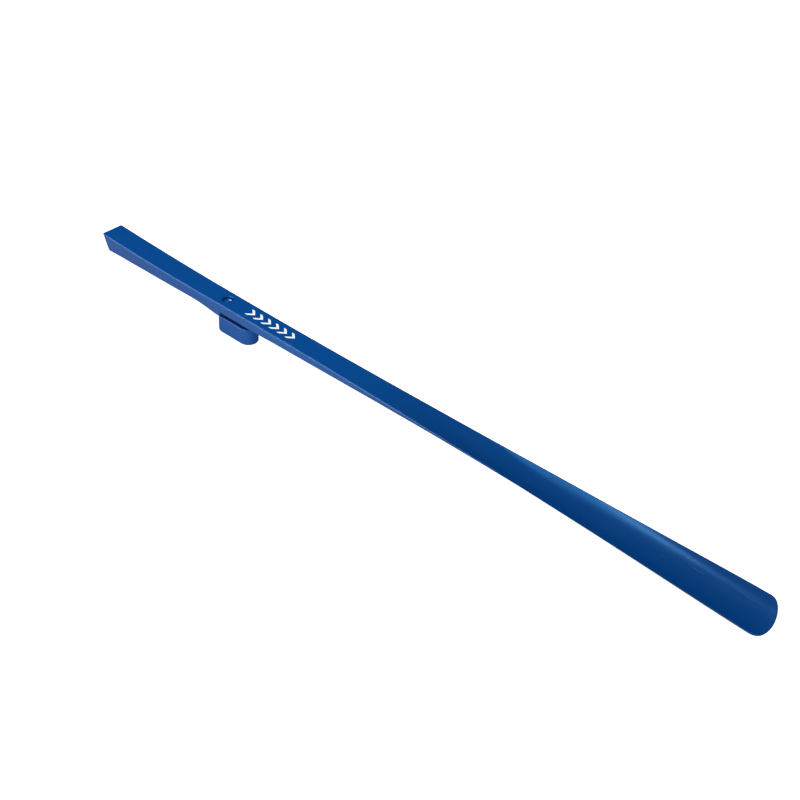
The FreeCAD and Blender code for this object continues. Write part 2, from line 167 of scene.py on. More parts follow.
def ramp(x, start, end):
    """Smooth step from 0 at start to 1 at end."""
    part = min(1.0, max(0.0, (x - start) / (end - start)))
    return part * part * (3 - 2 * part)


def bezier(start, corner, end, steps):
    """Points on a quadratic curve, both ends included."""
    return [(1 - i / steps) ** 2 * start + 2 * (i / steps) * (1 - i / steps) * corner
            + (i / steps) ** 2 * end for i in range(steps + 1)]


def arc(centre_r, centre_z, radius, start, end, steps=8):
    """Points (r, z) on an arc, angles in degrees, for profiles."""
    angles = [math.radians(start + (end - start) * i / steps) for i in range(steps + 1)]
    return [(centre_r + radius * math.cos(angle), centre_z + radius * math.sin(angle))
            for angle in angles]


# ------------------------------------------------------------ shoehorn surface
half_width = natural_spline(HALF_WIDTH)
skirt_handle = natural_spline(SKIRT_HANDLE)
skirt_shaft = natural_spline(SKIRT_SHAFT)


def rim_level(row):
    rise = max(0.0, 1.0 - row / HANDLE_RISE_LEN) ** 2
    drop = max(0.0, (row - BLADE_DROP_FROM) / (LENGTH - BLADE_DROP_FROM)) ** 1.5
    return HANDLE_RISE * rise - BLADE_DROP * drop


def trough(row):
    """Depth of the trough below the rims, on the centreline."""
    run, blend = row - TROUGH_FROM, TROUGH_BLEND
    if run <= -blend:
        return 0.0
    eased = (run + blend) ** 2 / (4 * blend) if run < blend else run
    return TROUGH_DEPTH * eased / (LENGTH - TROUGH_FROM)


def skin(row, across):
    """Wall thickness; across is 0 on the centreline and 1 at the rim."""
    middle = SKIN_SHAFT + (SKIN_BLADE - SKIN_SHAFT) * ramp(row, SKIN_THIN_FROM, SKIN_BLADE_ROW)
    rim = SKIN_SHAFT + (SKIN_RIM - SKIN_SHAFT) * ramp(row, SKIN_THIN_FROM, SKIN_RIM_ROW)
    return middle + (rim - middle) * across ** 4


def sink(row, y):
    """Shallow sink marks the ribs and the seat block leave in the front face."""
    rib_depth, rib_spread, rib_reach = 0.022, 2.2, 8
    block_depth, block_spread = 0.03, 13.0
    margin = 2.0
    across = min(1.0, abs(y) / (half_width(row) - margin))
    if across >= 1:
        return 0.0
    depth = sum(rib_depth * math.exp(-((row - rib) / rib_spread) ** 2)
                for rib in RIBS if abs(row - rib) < rib_reach)
    depth += block_depth * math.exp(-((row - PEG_ROW) / block_spread) ** 4)
    return depth * (1 - across * across) ** 2


def front(row, y):
    across = y / half_width(row)
    return rim_level(row) - trough(row) * (1 - across * across) - sink(row, y)


def back(row, y):
    """Underside of the skin, its thickness measured square to the trough."""
    width = half_width(row)
    across = y / width
    slope = 2 * trough(row) * across / width
    return (rim_level(row) - trough(row) * (1 - across * across)
            - skin(row, across) * math.sqrt(1 + slope * slope))


def wall(offset, open_level, solid_level, root_r=ROOT_R, lip_r=LIP_R):
    """Level across a wall: open where offset < 0, solid where offset > 0."""
    height = open_level - solid_level
    if height <= 0:
        return open_level
    root, lip = min(root_r, 0.45 * height), min(lip_r, 0.45 * height)
    if offset <= -WALL_HALF - root_r:
        return open_level
    if offset < -WALL_HALF:
        part = (offset + WALL_HALF + root_r) / root_r
        return open_level - root * (1 - math.sqrt(max(0.0, 1 - part * part)))
    if offset <= WALL_HALF:
        part = (offset + WALL_HALF) / (2 * WALL_HALF)
        return (open_level - root) * (1 - part) + (solid_level + lip) * part
    if offset < WALL_HALF + lip_r:
        part = (WALL_HALF + lip_r - offset) / lip_r
        return solid_level + lip * (1 - math.sqrt(max(0.0, 1 - part * part)))
    return solid_level


def skirt_level(row):
    """Lower edge of the side walls."""
    if row < STEP_ROW - 2.0:
        return skirt_handle(row)
    if row < SEAT_END:
        return wall(STEP_ROW - row, SEAT_LEVEL, skirt_handle(min(row, STEP_ROW)),
                    STEP_ROOT_R, STEP_LIP_R)
    return skirt_shaft(row) if row < SKIRT_END else NO_SKIRT


def inner_level(row, y):
    """Underside between the side walls: skin, cross ribs and seat block."""
    level = back(row, y)
    if 118.0 < row < 150.0:
        offset = min(row - BLOCK_START, BLOCK_END - row)
        return wall(offset, level, min(level, skirt_level(row)))
    for rib in RIBS:
        if abs(row - rib) < 4:
            offset = RIB_T / 2 - abs(row - rib)
            return wall(offset, level, min(level, skirt_level(rib) + RIB_INSET))
    return level


def bottom(row, y, inset):
    """Underside with the side walls, at an inset from the outline."""
    inner = inner_level(row, y)
    return wall(SKIRT_T - inset, inner, min(inner, skirt_level(row)))


def place(row, y, level):
    """Point in metres, with the handle end slanted."""
    if row < SHEAR_END:
        fade = ramp(SHEAR_END - row, 0.0, SHEAR_RUN)
        row = row + END_SHEAR * (front(row, y) - level) * fade
    return ((row - PEG_ROW) * MM, y * MM, (level + FACE_Z) * MM)


# ------------------------------------------------------------- shoehorn outline
def side_rows():
    """Rows of the mesh: even steps, with close rows at each rib, block and step."""
    features = [(BLOCK_START, 1), (BLOCK_END, -1)]
    for rib in RIBS:
        features += [(rib - RIB_T / 2, 1), (rib + RIB_T / 2, -1)]
    close = {round(edge + inward * offset, 4)
             for edge, inward in features for offset in FEATURE_ROWS}
    close |= {round(STEP_ROW + offset, 4) for offset in STEP_ROWS}
    even, row = {TIP_ROW}, END_R
    while row < TIP_ROW - 1.0:
        even.add(round(row, 4))
        row += ROW_STEP_HANDLE if row < ROW_STEP_CHANGE else ROW_STEP_SHAFT
    rows = []
    for row in sorted(close | even):
        # where two rows crowd each other, the feature's row wins
        if rows and row - rows[-1] < MIN_ROW_GAP:
            if row not in close:
                continue
            if rows[-1] not in close:
                rows.pop()
        rows.append(row)
    return rows


def outline_samples():
    """Half outline from handle end to tip: (kind, angle or row)."""
    samples = [("corner", math.radians(90 - 90 * i / CORNER_STEPS)) for i in range(CORNER_STEPS)]
    samples += [("side", row) for row in side_rows()]
    samples += [("tip", math.radians(90 * (i / TIP_STEPS) ** 0.9))
                for i in range(1, TIP_STEPS + 1)]
    return samples


def plan_point(sample, inset):
    """(row, y) of an outline sample moved inwards; y >= 0."""
    kind, value = sample
    if kind == "corner":
        width = half_width(END_R)
        if inset >= END_R:
            return inset, width - inset
        radius = END_R - inset
        return END_R - radius * math.sin(value), width - END_R + radius * math.cos(value)
    if kind == "side":
        return max(value, inset), half_width(value) - inset
    if value > math.radians(89.999):
        return LENGTH - inset, 0.0
    length, width, power = LENGTH - TIP_ROW, half_width(TIP_ROW), TIP_POWER
    x = length * max(0.0, math.sin(value)) ** (2 / power)
    y = width * max(0.0, math.cos(value)) ** (2 / power)
    normal_x = (x / length) ** (power - 1) / length
    normal_y = (y / width) ** (power - 1) / width
    size = math.hypot(normal_x, normal_y)
    return TIP_ROW + x - inset * normal_x / size, max(0.0, y - inset * normal_y / size)


def front_rounding(row, sign):
    """Rounding of the front edge, softer on the -Y side of the handle."""
    if sign > 0:
        return EDGE_R
    extra = 0.85 + 0.3 * (1 - ramp(row, 5.0, 110.0)) - 0.6 * ramp(row, 380.0, 450.0)
    return EDGE_R + extra * ramp(row, 1.0, 9.0)


def sample_rounding(sample, sign):
    kind, value = sample
    if kind == "tip":
        return EDGE_R + (front_rounding(LENGTH, sign) - EDGE_R) * math.cos(value)
    return front_rounding(value if kind == "side" else 0.0, sign)


def low_rounding(row):
    """Rounding along the lower edges, softer over the holder's seat."""
    return LOW_EDGE_R + 0.75 * ramp(row, 112.0, 134.0) * (1 - ramp(row, 160.0, 185.0))


def profile(plan, rounding, sign):
    """Points from the front face, over the edge, down and along the underside.

    plan gives (row, y) for an inset from the outline.
    """
    row, y = plan(0.0)
    top, low = front(row, y), bottom(row, y, 0.0)
    most = 0.42 * (top - low)
    side_top = np.array([row, y, top - min(rounding, most)])
    side_low = np.array([row, y, low + min(low_rounding(row), most)])
    face_row, face_y = plan(rounding)
    face_edge = np.array([face_row, face_y, front(face_row, face_y)])
    inset = min(low_rounding(row), 0.6)
    under_row, under_y = plan(inset)
    under_edge = np.array([under_row, under_y, bottom(under_row, under_y, inset)])

    points = bezier(face_edge, np.array([row, y, top]), side_top, 6)
    points += [side_top * (1 - part) + side_low * part for part in (0.25, 0.5, 0.75)]
    points += bezier(side_low, np.array([row, y, low]), under_edge, 4)
    for inset in UNDER_INSETS:
        under_row, under_y = plan(inset)
        points.append((under_row, under_y, bottom(under_row, under_y, inset)))
    return [place(row, sign * y, level) for row, y, level in points]


# ---------------------------------------------------------------- mesh helpers
pieces = {}                     # CAD piece name -> the object that replaces it


def mesh_object(name, verts, faces, merge=2e-6):
    mesh = bpy.data.meshes.new(name)
    mesh.from_pydata([Vector(point) for point in verts], [], faces)
    work = bmesh.new()
    work.from_mesh(mesh)
    bmesh.ops.remove_doubles(work, verts=work.verts, dist=merge)
    bmesh.ops.dissolve_degenerate(work, dist=1e-7, edges=work.edges)
    bmesh.ops.recalc_face_normals(work, faces=work.faces)
    work.to_mesh(mesh)
    work.free()
    ob = bpy.data.objects.new(name, mesh)
    scene.collection.objects.link(ob)
    return ob


def add_grid(verts, faces, grid, flip):
    base, count = len(verts), len(grid[0])
    for line in grid:
        verts.extend(line)
    for i in range(len(grid) - 1):
        for j in range(count - 1):
            corner = base + i * count + j
            quad = [corner, corner + 1, corner + count + 1, corner + count]
            faces.append(quad[::-1] if flip else quad)


def add_stack(verts, faces, rings):
    """Closed solid through rings of equal count, capped at both ends."""
    base, count = len(verts), len(rings[0])
    for ring in rings:
        verts.extend(ring)
    top = base + (len(rings) - 1) * count
    for start in range(base, top, count):
        for j in range(count):
            k = (j + 1) % count
            faces.append([start + j, start + k, start + count + k, start + count + j])
    faces.append([base + j for j in range(count)][::-1])
    faces.append([top + j for j in range(count)])


def lathe(name, outline, segments=96, x=0.0, y=0.0):
    """Closed solid of revolution about Z at (x, y); outline is (r, z) in mm."""
    verts, faces = [], []
    count = len(outline)
    for k in range(segments):
        angle = 2 * math.pi * k / segments
        for radius, z in outline:
            verts.append(((x + radius * math.cos(angle)) * MM,
                          (y + radius * math.sin(angle)) * MM, z * MM))
    for k in range(segments):
        here, there = k * count, (k + 1) % segments * count
        for i in range(count):
            j = (i + 1) % count
            i_on_axis, j_on_axis = outline[i][0] == 0, outline[j][0] == 0
            if i_on_axis and j_on_axis:
                continue
            if i_on_axis:
                faces.append([here + i, there + j, here + j])
            elif j_on_axis:
                faces.append([here + i, there + i, here + j])
            else:
                faces.append([here + i, there + i, there + j, here + j])
    return mesh_object(name, verts, faces)


def boolean(ob, others, operation):
    """Joins the other meshes into one operand, applies it and removes them."""
    joined = bmesh.new()
    for other in others:
        joined.from_mesh(other.data)
    mesh = bpy.data.meshes.new("operand")
    joined.to_mesh(mesh)
    joined.free()
    operand = bpy.data.objects.new("operand", mesh)
    scene.collection.objects.link(operand)
    modifier = ob.modifiers.new("bool", "BOOLEAN")
    modifier.operation, modifier.solver, modifier.object = operation, "EXACT", operand
    depsgraph = bpy.context.evaluated_depsgraph_get()
    result = bpy.data.meshes.new_from_object(ob.evaluated_get(depsgraph))
    ob.modifiers.clear()
    old = ob.data
    ob.data = result
    bpy.data.meshes.remove(old)
    for used in others + [operand]:
        mesh = used.data
        bpy.data.objects.remove(used)
        bpy.data.meshes.remove(mesh)


def smooth(ob, angle=32.0):
    for polygon in ob.data.polygons:
        polygon.use_smooth = True
    ob.data.set_sharp_from_angle(angle=math.radians(angle))
    modifier = ob.modifiers.new("normals", "WEIGHTED_NORMAL")
    modifier.keep_sharp = True
    modifier.weight = 60


def hand_over(ob, carrier, cad_piece):
    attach(ob, carrier)
    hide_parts(cad_piece)
    pieces[cad_piece] = ob


# --------------------------------------------------------------- shoehorn body
def body_blank():
    """The moulding before the hole and dents are cut."""
    verts, faces = [], []
    samples = outline_samples()
    for sign in (1, -1):
        side = [profile(lambda inset, sample=sample: plan_point(sample, inset),
                        sample_rounding(sample, sign), sign) for sample in samples]
        add_grid(verts, faces, side, sign < 0)

    # handle end: the same profile along the straight end line
    end_width = half_width(END_R)
    end = [profile(lambda inset, across=across: (inset, across * (end_width - max(inset, END_R))),
                   front_rounding(0.0, 1), 1) for across in ACROSS]
    add_grid(verts, faces, end, False)

    front_sheet, inner_sheet = [], []
    for sample in samples:
        right_row, right_y = plan_point(sample, sample_rounding(sample, -1))
        left_row, left_y = plan_point(sample, sample_rounding(sample, 1))
        line = []
        for across in ACROSS:
            row = right_row + (left_row - right_row) * (across + 1) / 2
            y = -right_y + (left_y + right_y) * (across + 1) / 2
            line.append(place(row, y, front(row, y)))
        front_sheet.append(line)
        row, y = plan_point(sample, INNER_INSET)
        inner_sheet.append([place(row, y * across, inner_level(row, y * across))
                            for across in ACROSS])
    add_grid(verts, faces, front_sheet, True)
    add_grid(verts, faces, inner_sheet, False)
    return mesh_object("shoehorn_moulding", verts, faces)


def hole_cutter():
    """Hole with rounded rims, and the flat recess below it."""
    above, below = FACE_Z + 5, -6.0
    seat_z = FACE_Z + SEAT_LEVEL
    recess_z = seat_z + 0.02
    rim_r = HOLE_R + HOLE_ROUND
    outline = [(0, above), (rim_r, above)]
    outline += arc(rim_r, FACE_Z - HOLE_ROUND, HOLE_ROUND, 90, 180)
    outline += arc(rim_r, seat_z + HOLE_ROUND, HOLE_ROUND, 180, 270)[:-1]
    outline += [(rim_r, recess_z), (RECESS_R, recess_z), (RECESS_R, below), (0, below)]
    return lathe("cut_hole", outline, 128)


def ejector_cutter(row, depth):
    """Upright cylinder with slightly softened ends, sunk into the underside."""
    surface = FACE_Z + back(row, 0.0)
    low, top = surface - 6.0, surface + depth
    radius, soft = EJECTOR_R, EJECTOR_SOFT
    outline = [(0, low), (radius - soft, low), (radius, low + soft),
               (radius, top - soft), (radius - soft, top), (0, top)]
    return lathe("cut_pin", outline, 40, row - PEG_ROW + EJECTOR_SHIFT[0], EJECTOR_SHIFT[1])


body = body_blank()
cutters = [hole_cutter()]
cutters += [ejector_cutter(row, depth) for depth, rows in EJECTOR_MARKS for row in rows]
boolean(body, cutters, "DIFFERENCE")
smooth(body)
hand_over(body, "shoehorn", "shoehorn_body")

# ---------------------------------------------------------------- holder sizes
END_X0, END_X1 = 0.5, 22.3      # centres of the round ends
CASE_R = 7.5
CASE_ROOF = CASE_TOP - 1.75     # underside of the case's top wall
CASE_TOP_ROUND, CASE_LOW_ROUND = 0.85, 0.3
CAVITY_R, CAVITY_STEP_Z = 5.1, 7.72     # narrow upper part of the cavity
WIDE_CAVITY_R = 6.0
OPENING_R, OPENING_TOP = 6.56, 2.01     # widest part, open at the bottom
POST_R, POST_LOW, POST_CHAMFER = 2.5, 2.05, 0.2
SPIGOT_R, SPIGOT_GAP = 2.5, 0.02
PAD_T, PAD_R = 0.5, 7.05
PAD_TOP_ROUND, PAD_LOW_ROUND = 0.1, 0.16
PAD_GROOVES = (6.3, 3.2)        # outer edges of the two grooves in the underside
PAD_GROOVE_DEPTH = 0.12


def stadium_solid(name, outline):
    """Closed solid swept round the stadium; outline is (offset, z) in mm, cap to cap."""
    steps = 28
    rings = []
    for radius, z in outline:
        ring = []
        for centre_x, start in ((END_X1, -90.0), (END_X0, 90.0)):
            for i in range(steps + 1):
                angle = math.radians(start + 180.0 * i / steps)
                ring.append(((centre_x + radius * math.cos(angle)) * MM,
                             radius * math.sin(angle) * MM, z * MM))
        rings.append(ring)
    verts, faces = [], []
    add_stack(verts, faces, rings)
    return mesh_object(name, verts, faces)


def make_case():
    """Case shell with a bored post in the middle and a hole for the peg's spigot."""
    outline = [(CAVITY_R, CASE_ROOF), (CAVITY_R, CAVITY_STEP_Z), (WIDE_CAVITY_R, CAVITY_STEP_Z),
               (WIDE_CAVITY_R, OPENING_TOP), (OPENING_R, OPENING_TOP), (OPENING_R, PAD_T)]
    outline += arc(CASE_R - CASE_LOW_ROUND, PAD_T + CASE_LOW_ROUND, CASE_LOW_ROUND, -90, 0, 5)
    round_z = CASE_TOP - CASE_TOP_ROUND
    outline += [(CASE_R, PAD_T + 1.6), (CASE_R, 7.0), (CASE_R, round_z - 1.0)]
    outline += arc(CASE_R - CASE_TOP_ROUND, round_z, CASE_TOP_ROUND, 0, 90, 10)
    outline += [(5.6, CASE_TOP)]
    shell = stadium_solid("holder_case_shell", outline)

    middle = 0.5 * (END_X0 + END_X1)
    post_top = CASE_ROOF + 0.5
    post = lathe("post", [(0, POST_LOW), (POST_R - POST_CHAMFER, POST_LOW),
                          (POST_R, POST_LOW + POST_CHAMFER), (POST_R, post_top),
                          (0, post_top)], 48, middle)
    boolean(shell, [post], "UNION")
    bore_r, bore_low, bore_top, bore_point = 1.12, 1.0, 9.5, 9.8
    bore = lathe("bore", [(0, bore_low), (bore_r, bore_low), (bore_r, bore_top),
                          (0, bore_point)], 40, middle)
    hole_r = SPIGOT_R + SPIGOT_GAP
    spigot = lathe("spigot", [(0, CASE_ROOF - 1), (hole_r, CASE_ROOF - 1),
                              (hole_r, CASE_TOP + 1), (0, CASE_TOP + 1)], 64)
    boolean(shell, [bore, spigot], "DIFFERENCE")
    smooth(shell)
    hand_over(shell, "holder", "holder_case")
    return shell


def make_pad():
    """Pad under the case, with two stadium-shaped grooves in its underside."""
    outline = [(5.4, PAD_T)]
    outline += arc(PAD_R - PAD_TOP_ROUND, PAD_T - PAD_TOP_ROUND, PAD_TOP_ROUND, 90, 0, 3)
    outline += arc(PAD_R - PAD_LOW_ROUND, PAD_LOW_ROUND, PAD_LOW_ROUND, 0, -90, 4)
    for edge in PAD_GROOVES:
        outline += [(edge, 0.0), (edge - 0.1, PAD_GROOVE_DEPTH),
                    (edge - 0.4, PAD_GROOVE_DEPTH), (edge - 0.5, 0.0)]
    ob = stadium_solid("non_slip_pad", outline)
    smooth(ob)
    hand_over(ob, "holder", "back_pad")
    return ob


def make_peg():
    """Spigot, neck and head with a domed end, and a pilot bore up from below."""
    pilot_r, neck_r, head_r = 1.27, 3.5, 4.0
    spigot_round, neck_round = 0.15, 0.12
    neck_top, head_low = 19.4, 20.2
    dome, edge_drop = 1.5, 0.35         # dome height, and the soft edge below it
    ball_r = (head_r ** 2 + dome ** 2) / (2 * dome)
    edge_angle = math.degrees(math.asin(head_r / ball_r))
    dome_low = PEG_TIP - dome

    def ball_point(angle):
        return ball_r * math.sin(angle), PEG_TIP - ball_r + ball_r * math.cos(angle)

    outline = [(0, CASE_ROOF + 8.6), (pilot_r, CASE_ROOF + 8.4), (pilot_r, CASE_ROOF)]
    outline += arc(SPIGOT_R - spigot_round, CASE_ROOF + spigot_round, spigot_round, -90, 0, 4)
    outline += [(SPIGOT_R, CASE_TOP - 0.01), (SPIGOT_R, CASE_TOP)]
    outline += arc(neck_r - neck_round, CASE_TOP + neck_round, neck_round, -90, 0, 4)
    outline += [(neck_r, neck_top - 0.3), (neck_r + 0.02, neck_top),
                (neck_r + 0.1, neck_top + 0.16), (head_r - 0.08, head_low - 0.12),
                (head_r, head_low + 0.1), (head_r, dome_low - edge_drop)]
    # ease from the head's side into the ball
    for part in (0.25, 0.5, 0.75):
        radius, z = ball_point(math.radians(edge_angle - 5.0 * part))
        outline.append((head_r - (head_r - radius) * part * 0.9 - 0.01 * part,
                        dome_low - edge_drop * (1 - part) + (z - dome_low) * part))
    outline += [ball_point(math.radians(edge_angle - 6.0) * (1 - i / 16.0)) for i in range(17)]
    ob = lathe("hanging_peg", outline)
    smooth(ob, 40)
    hand_over(ob, "holder", "hang_peg")
    return ob


def make_washer():
    inner_r, inner_round = 3.58, 0.12
    outer_r, outer_round = 6.8, 0.4
    outline = arc(inner_r + inner_round, WASHER_LOW + inner_round, inner_round, 270, 180, 4)
    outline += arc(inner_r + inner_round, WASHER_TOP - inner_round, inner_round, 180, 90, 4)
    outline += arc(outer_r - outer_round, WASHER_TOP - outer_round, outer_round, 90, 0, 7)
    outline += arc(outer_r - outer_round, WASHER_LOW + outer_round, outer_round, 0, -90, 7)
    ob = lathe("rubber_washer", outline)
    smooth(ob)
    hand_over(ob, "washer", "pivot_washer")
    return ob


case = make_case()
pad = make_pad()
peg = make_peg()
washer = make_washer()

# ---------------------------------------------------------------- printed mark
MARK_FIRST, MARK_COUNT, MARK_PITCH = 157.0, 6, 8.6
MARK_HALF_H, MARK_DEPTH, MARK_STROKE = 3.9, 4.6, 2.8
MARK_CORNER_R = 0.28
# (level, how far the outline is drawn in)
MARK_LAYERS = ((MARK_LIFT, 0.0), (0.045, 0.0), (0.064, 0.035))


def rounded(points, radius, steps=4):
    """Polygon with its corners rounded."""
    ring = []
    for i in range(len(points)):
        before, corner, after = (Vector(points[k % len(points)]) for k in (i - 1, i, i + 1))
        to_before, to_after = (before - corner).normalized(), (after - corner).normalized()
        half_angle = 0.5 * to_before.angle(to_after)
        cut = min(radius / math.tan(half_angle),
                  0.4 * min((before - corner).length, (after - corner).length))
        ring += bezier(corner + to_before * cut, corner, corner + to_after * cut, steps)
    return ring


def make_mark():
    """A line of thin chevrons on the front face, pointing to the blade."""
    verts, faces = [], []
    for i in range(MARK_COUNT):
        x = MARK_FIRST + i * MARK_PITCH
        stroke_x = x + MARK_STROKE
        outline = rounded([(x, MARK_HALF_H), (stroke_x, MARK_HALF_H), (stroke_x + MARK_DEPTH, 0),
                           (stroke_x, -MARK_HALF_H), (x, -MARK_HALF_H), (x + MARK_DEPTH, 0)],
                          MARK_CORNER_R)
        centre = Vector((x + MARK_DEPTH * 0.62 + MARK_STROKE / 2, 0.0))
        rings = []
        for level, shrink in MARK_LAYERS:
            ring = []
            for point in outline:
                shift = (centre - point).normalized() * shrink
                ring.append(((point.x + shift.x - PEG_ROW) * MM, (point.y + shift.y) * MM,
                             (FACE_Z + level) * MM))
            rings.append(ring)
        add_stack(verts, faces, rings)
    ob = mesh_object("printed_chevrons", verts, faces, 1e-7)
    hand_over(ob, "shoehorn", "printed_mark")


make_mark()


# ------------------------------------------------------------------- materials
class ShaderNet:
    """Builds one procedural material; scales are per metre, distances in metres."""

    def __init__(self, name):
        self.mat = bpy.data.materials.new(name)
        self.mat.use_nodes = True
        self.tree = self.mat.node_tree
        self.shader = self.tree.nodes["Principled BSDF"]
        self.coords = self.node("TexCoord").outputs["Object"]

    def node(self, kind):
        return self.tree.nodes.new("ShaderNode" + kind)

    def link(self, source, socket):
        self.tree.links.new(source, socket)

    def put(self, socket, value):
        """Sets a number or an RGB colour, or links an output."""
        if isinstance(value, (int, float)):
            socket.default_value = value
        elif isinstance(value, tuple):
            socket.default_value = (*value, 1.0)
        else:
            self.link(value, socket)

    def math(self, operation, first, second=0.0, clamp=False):
        node = self.node("Math")
        node.operation, node.use_clamp = operation, clamp
        self.put(node.inputs[0], first)
        self.put(node.inputs[1], second)
        return node.outputs[0]

    def times(self, first, second):
        return self.math("MULTIPLY", first, second)

    def plus(self, base, source, gain, clamp=False):
        """base + source * gain"""
        return self.math("ADD", base, self.times(source, gain), clamp)

    def centred(self, source):
        return self.math("SUBTRACT", source, 0.5)

    def stretch(self, scale, turn_z=0.0):
        node = self.node("Mapping")
        self.link(self.coords, node.inputs["Vector"])
        node.inputs["Scale"].default_value = scale
        node.inputs["Rotation"].default_value = (0.0, 0.0, turn_z)
        return node.outputs[0]

    def noise(self, scale, detail=2.0, rough=0.5, vector=None, distortion=0.0):
        node = self.node("TexNoise")
        self.link(vector or self.coords, node.inputs["Vector"])
        node.inputs["Scale"].default_value = scale
        node.inputs["Detail"].default_value = detail
        node.inputs["Roughness"].default_value = rough
        node.inputs["Distortion"].default_value = distortion
        return node.outputs["Fac"]

    def voronoi(self, scale):
        node = self.node("TexVoronoi")
        node.feature = "F1"
        self.link(self.coords, node.inputs["Vector"])
        node.inputs["Scale"].default_value = scale
        return node.outputs["Distance"]

    def remap(self, source, lo, hi, to_lo=0.0, to_hi=1.0):
        node = self.node("MapRange")
        node.clamp = True
        self.put(node.inputs["Value"], source)
        for key, value in (("From Min", lo), ("From Max", hi), ("To Min", to_lo),
                           ("To Max", to_hi)):
            node.inputs[key].default_value = value
        return node.outputs[0]

    def mix(self, factor, first, second):
        node = self.node("Mix")
        node.data_type = "RGBA"
        self.put(node.inputs[0], factor)
        self.put(node.inputs[6], first)
        self.put(node.inputs[7], second)
        return node.outputs[2]

    def tint(self, color, toward, source, gain):
        """Moves color toward another by source * gain."""
        return self.mix(self.times(source, gain), color, toward)

    def bump(self, height, distance, normal=None):
        node = self.node("Bump")
        node.inputs["Strength"].default_value = 1.0
        node.inputs["Distance"].default_value = distance
        self.put(node.inputs["Height"], height)
        if normal is not None:
            self.link(normal, node.inputs["Normal"])
        return node.outputs[0]

    def edge(self, radius):
        """1 along convex and concave edges, from a bevelled normal."""
        bevel = self.node("Bevel")
        bevel.samples = 6
        bevel.inputs["Radius"].default_value = radius
        geometry = self.node("NewGeometry")
        dot = self.node("VectorMath")
        dot.operation = "DOT_PRODUCT"
        self.link(bevel.outputs[0], dot.inputs[0])
        self.link(geometry.outputs["Normal"], dot.inputs[1])
        return self.remap(self.math("SUBTRACT", 1.0, dot.outputs["Value"]), lo=0.02, hi=0.16)

    def finish(self, color, rough, normal, **more):
        self.put(self.shader.inputs["Base Color"], color)
        self.put(self.shader.inputs["Roughness"], rough)
        self.link(normal, self.shader.inputs["Normal"])
        for key, value in more.items():
            self.put(self.shader.inputs[key.replace("_", " ")], value)
        return self.mat


def moulded_plastic(name, deep, bright, worn, rough, peel=0.0000035):
    """Glossy plastic with flow lines, hair scratches, rubbed patches and worn edges."""
    net = ShaderNet(name)
    tone = net.noise(scale=11.0, detail=3.0, rough=0.55)
    flow = net.noise(scale=130.0, detail=4.0, rough=0.6,
                     vector=net.stretch((0.10, 1.0, 1.0)), distortion=0.4)
    fine = net.noise(scale=1500.0)
    scratches = net.noise(scale=800.0, vector=net.stretch((0.018, 1.0, 1.0), turn_z=0.03))
    scratches = net.remap(scratches, lo=0.70, hi=0.76)
    crossing = net.noise(scale=620.0, vector=net.stretch((0.03, 1.0, 1.0), turn_z=-0.22))
    crossing = net.remap(crossing, lo=0.72, hi=0.78)
    hair = net.math("MAXIMUM", scratches, net.times(crossing, 0.7))
    rub = net.remap(net.noise(scale=36.0, detail=5.0, rough=0.62, distortion=0.6),
                    lo=0.56, hi=0.74)
    edge = net.times(net.edge(radius=0.00045),
                     net.remap(net.noise(scale=420.0, detail=4.0, rough=0.6), lo=0.36, hi=0.62))
    color = net.mix(net.remap(tone, lo=0.3, hi=0.7), deep, bright)
    color = net.tint(color, worn, net.remap(flow, lo=0.45, hi=0.75), gain=0.10)
    color = net.tint(color, worn, hair, gain=0.10)
    color = net.tint(color, worn, edge, gain=0.22)
    rough = net.plus(rough, rub, gain=0.07)
    rough = net.plus(rough, net.centred(fine), gain=0.05)
    rough = net.plus(rough, hair, gain=0.12)
    rough = net.plus(rough, edge, gain=0.12, clamp=True)
    waves = net.noise(scale=58.0, vector=net.stretch((0.55, 1.0, 1.0)))
    normal = net.bump(waves, distance=0.00007)
    normal = net.bump(fine, peel, normal)
    normal = net.bump(hair, -0.000006, normal)
    return net.finish(color, rough, normal, Specular_IOR_Level=0.5, IOR=1.49)


def rubber(name, base, dusty, rough, dot_scale, dot_depth, specular):
    """Dusty black rubber with a dotted, grainy surface."""
    net = ShaderNet(name)
    tone = net.noise(scale=90.0, detail=4.0, rough=0.6)
    grain = net.noise(scale=2600.0, detail=3.0, rough=0.55)
    dots = net.voronoi(dot_scale)
    edge = net.edge(radius=0.0003)
    color = net.mix(net.remap(tone, lo=0.35, hi=0.7, to_hi=0.6), base, dusty)
    color = net.tint(color, dusty, edge, gain=0.35)
    rough = net.plus(rough, net.centred(grain), gain=0.2, clamp=True)
    normal = net.bump(net.remap(dots, lo=0.15, hi=0.5), dot_depth)
    normal = net.bump(grain, 0.000008, normal)
    return net.finish(color, rough, normal, Specular_IOR_Level=specular)


def plated(name, base, dull, rough, brush):
    """Plated metal; brush stretches the fine lines along X, Y and Z."""
    net = ShaderNet(name)
    tone = net.noise(scale=300.0, detail=4.0, rough=0.6)
    lines = net.noise(scale=1900.0, detail=3.0, rough=0.6, vector=net.stretch(brush))
    spots = net.remap(net.noise(scale=900.0, detail=3.0, rough=0.6), lo=0.62, hi=0.72)
    edge = net.edge(radius=0.0002)
    color = net.mix(net.remap(tone, lo=0.3, hi=0.7), base, dull)
    color = net.tint(color, (0.8, 0.8, 0.79), edge, gain=0.4)
    color = net.tint(color, tuple(0.6 * channel for channel in dull), spots, gain=0.25)
    rough = net.plus(rough, lines, gain=0.16)
    rough = net.plus(rough, spots, gain=0.15, clamp=True)
    return net.finish(color, rough, net.bump(lines, distance=0.000006), Metallic=1.0)


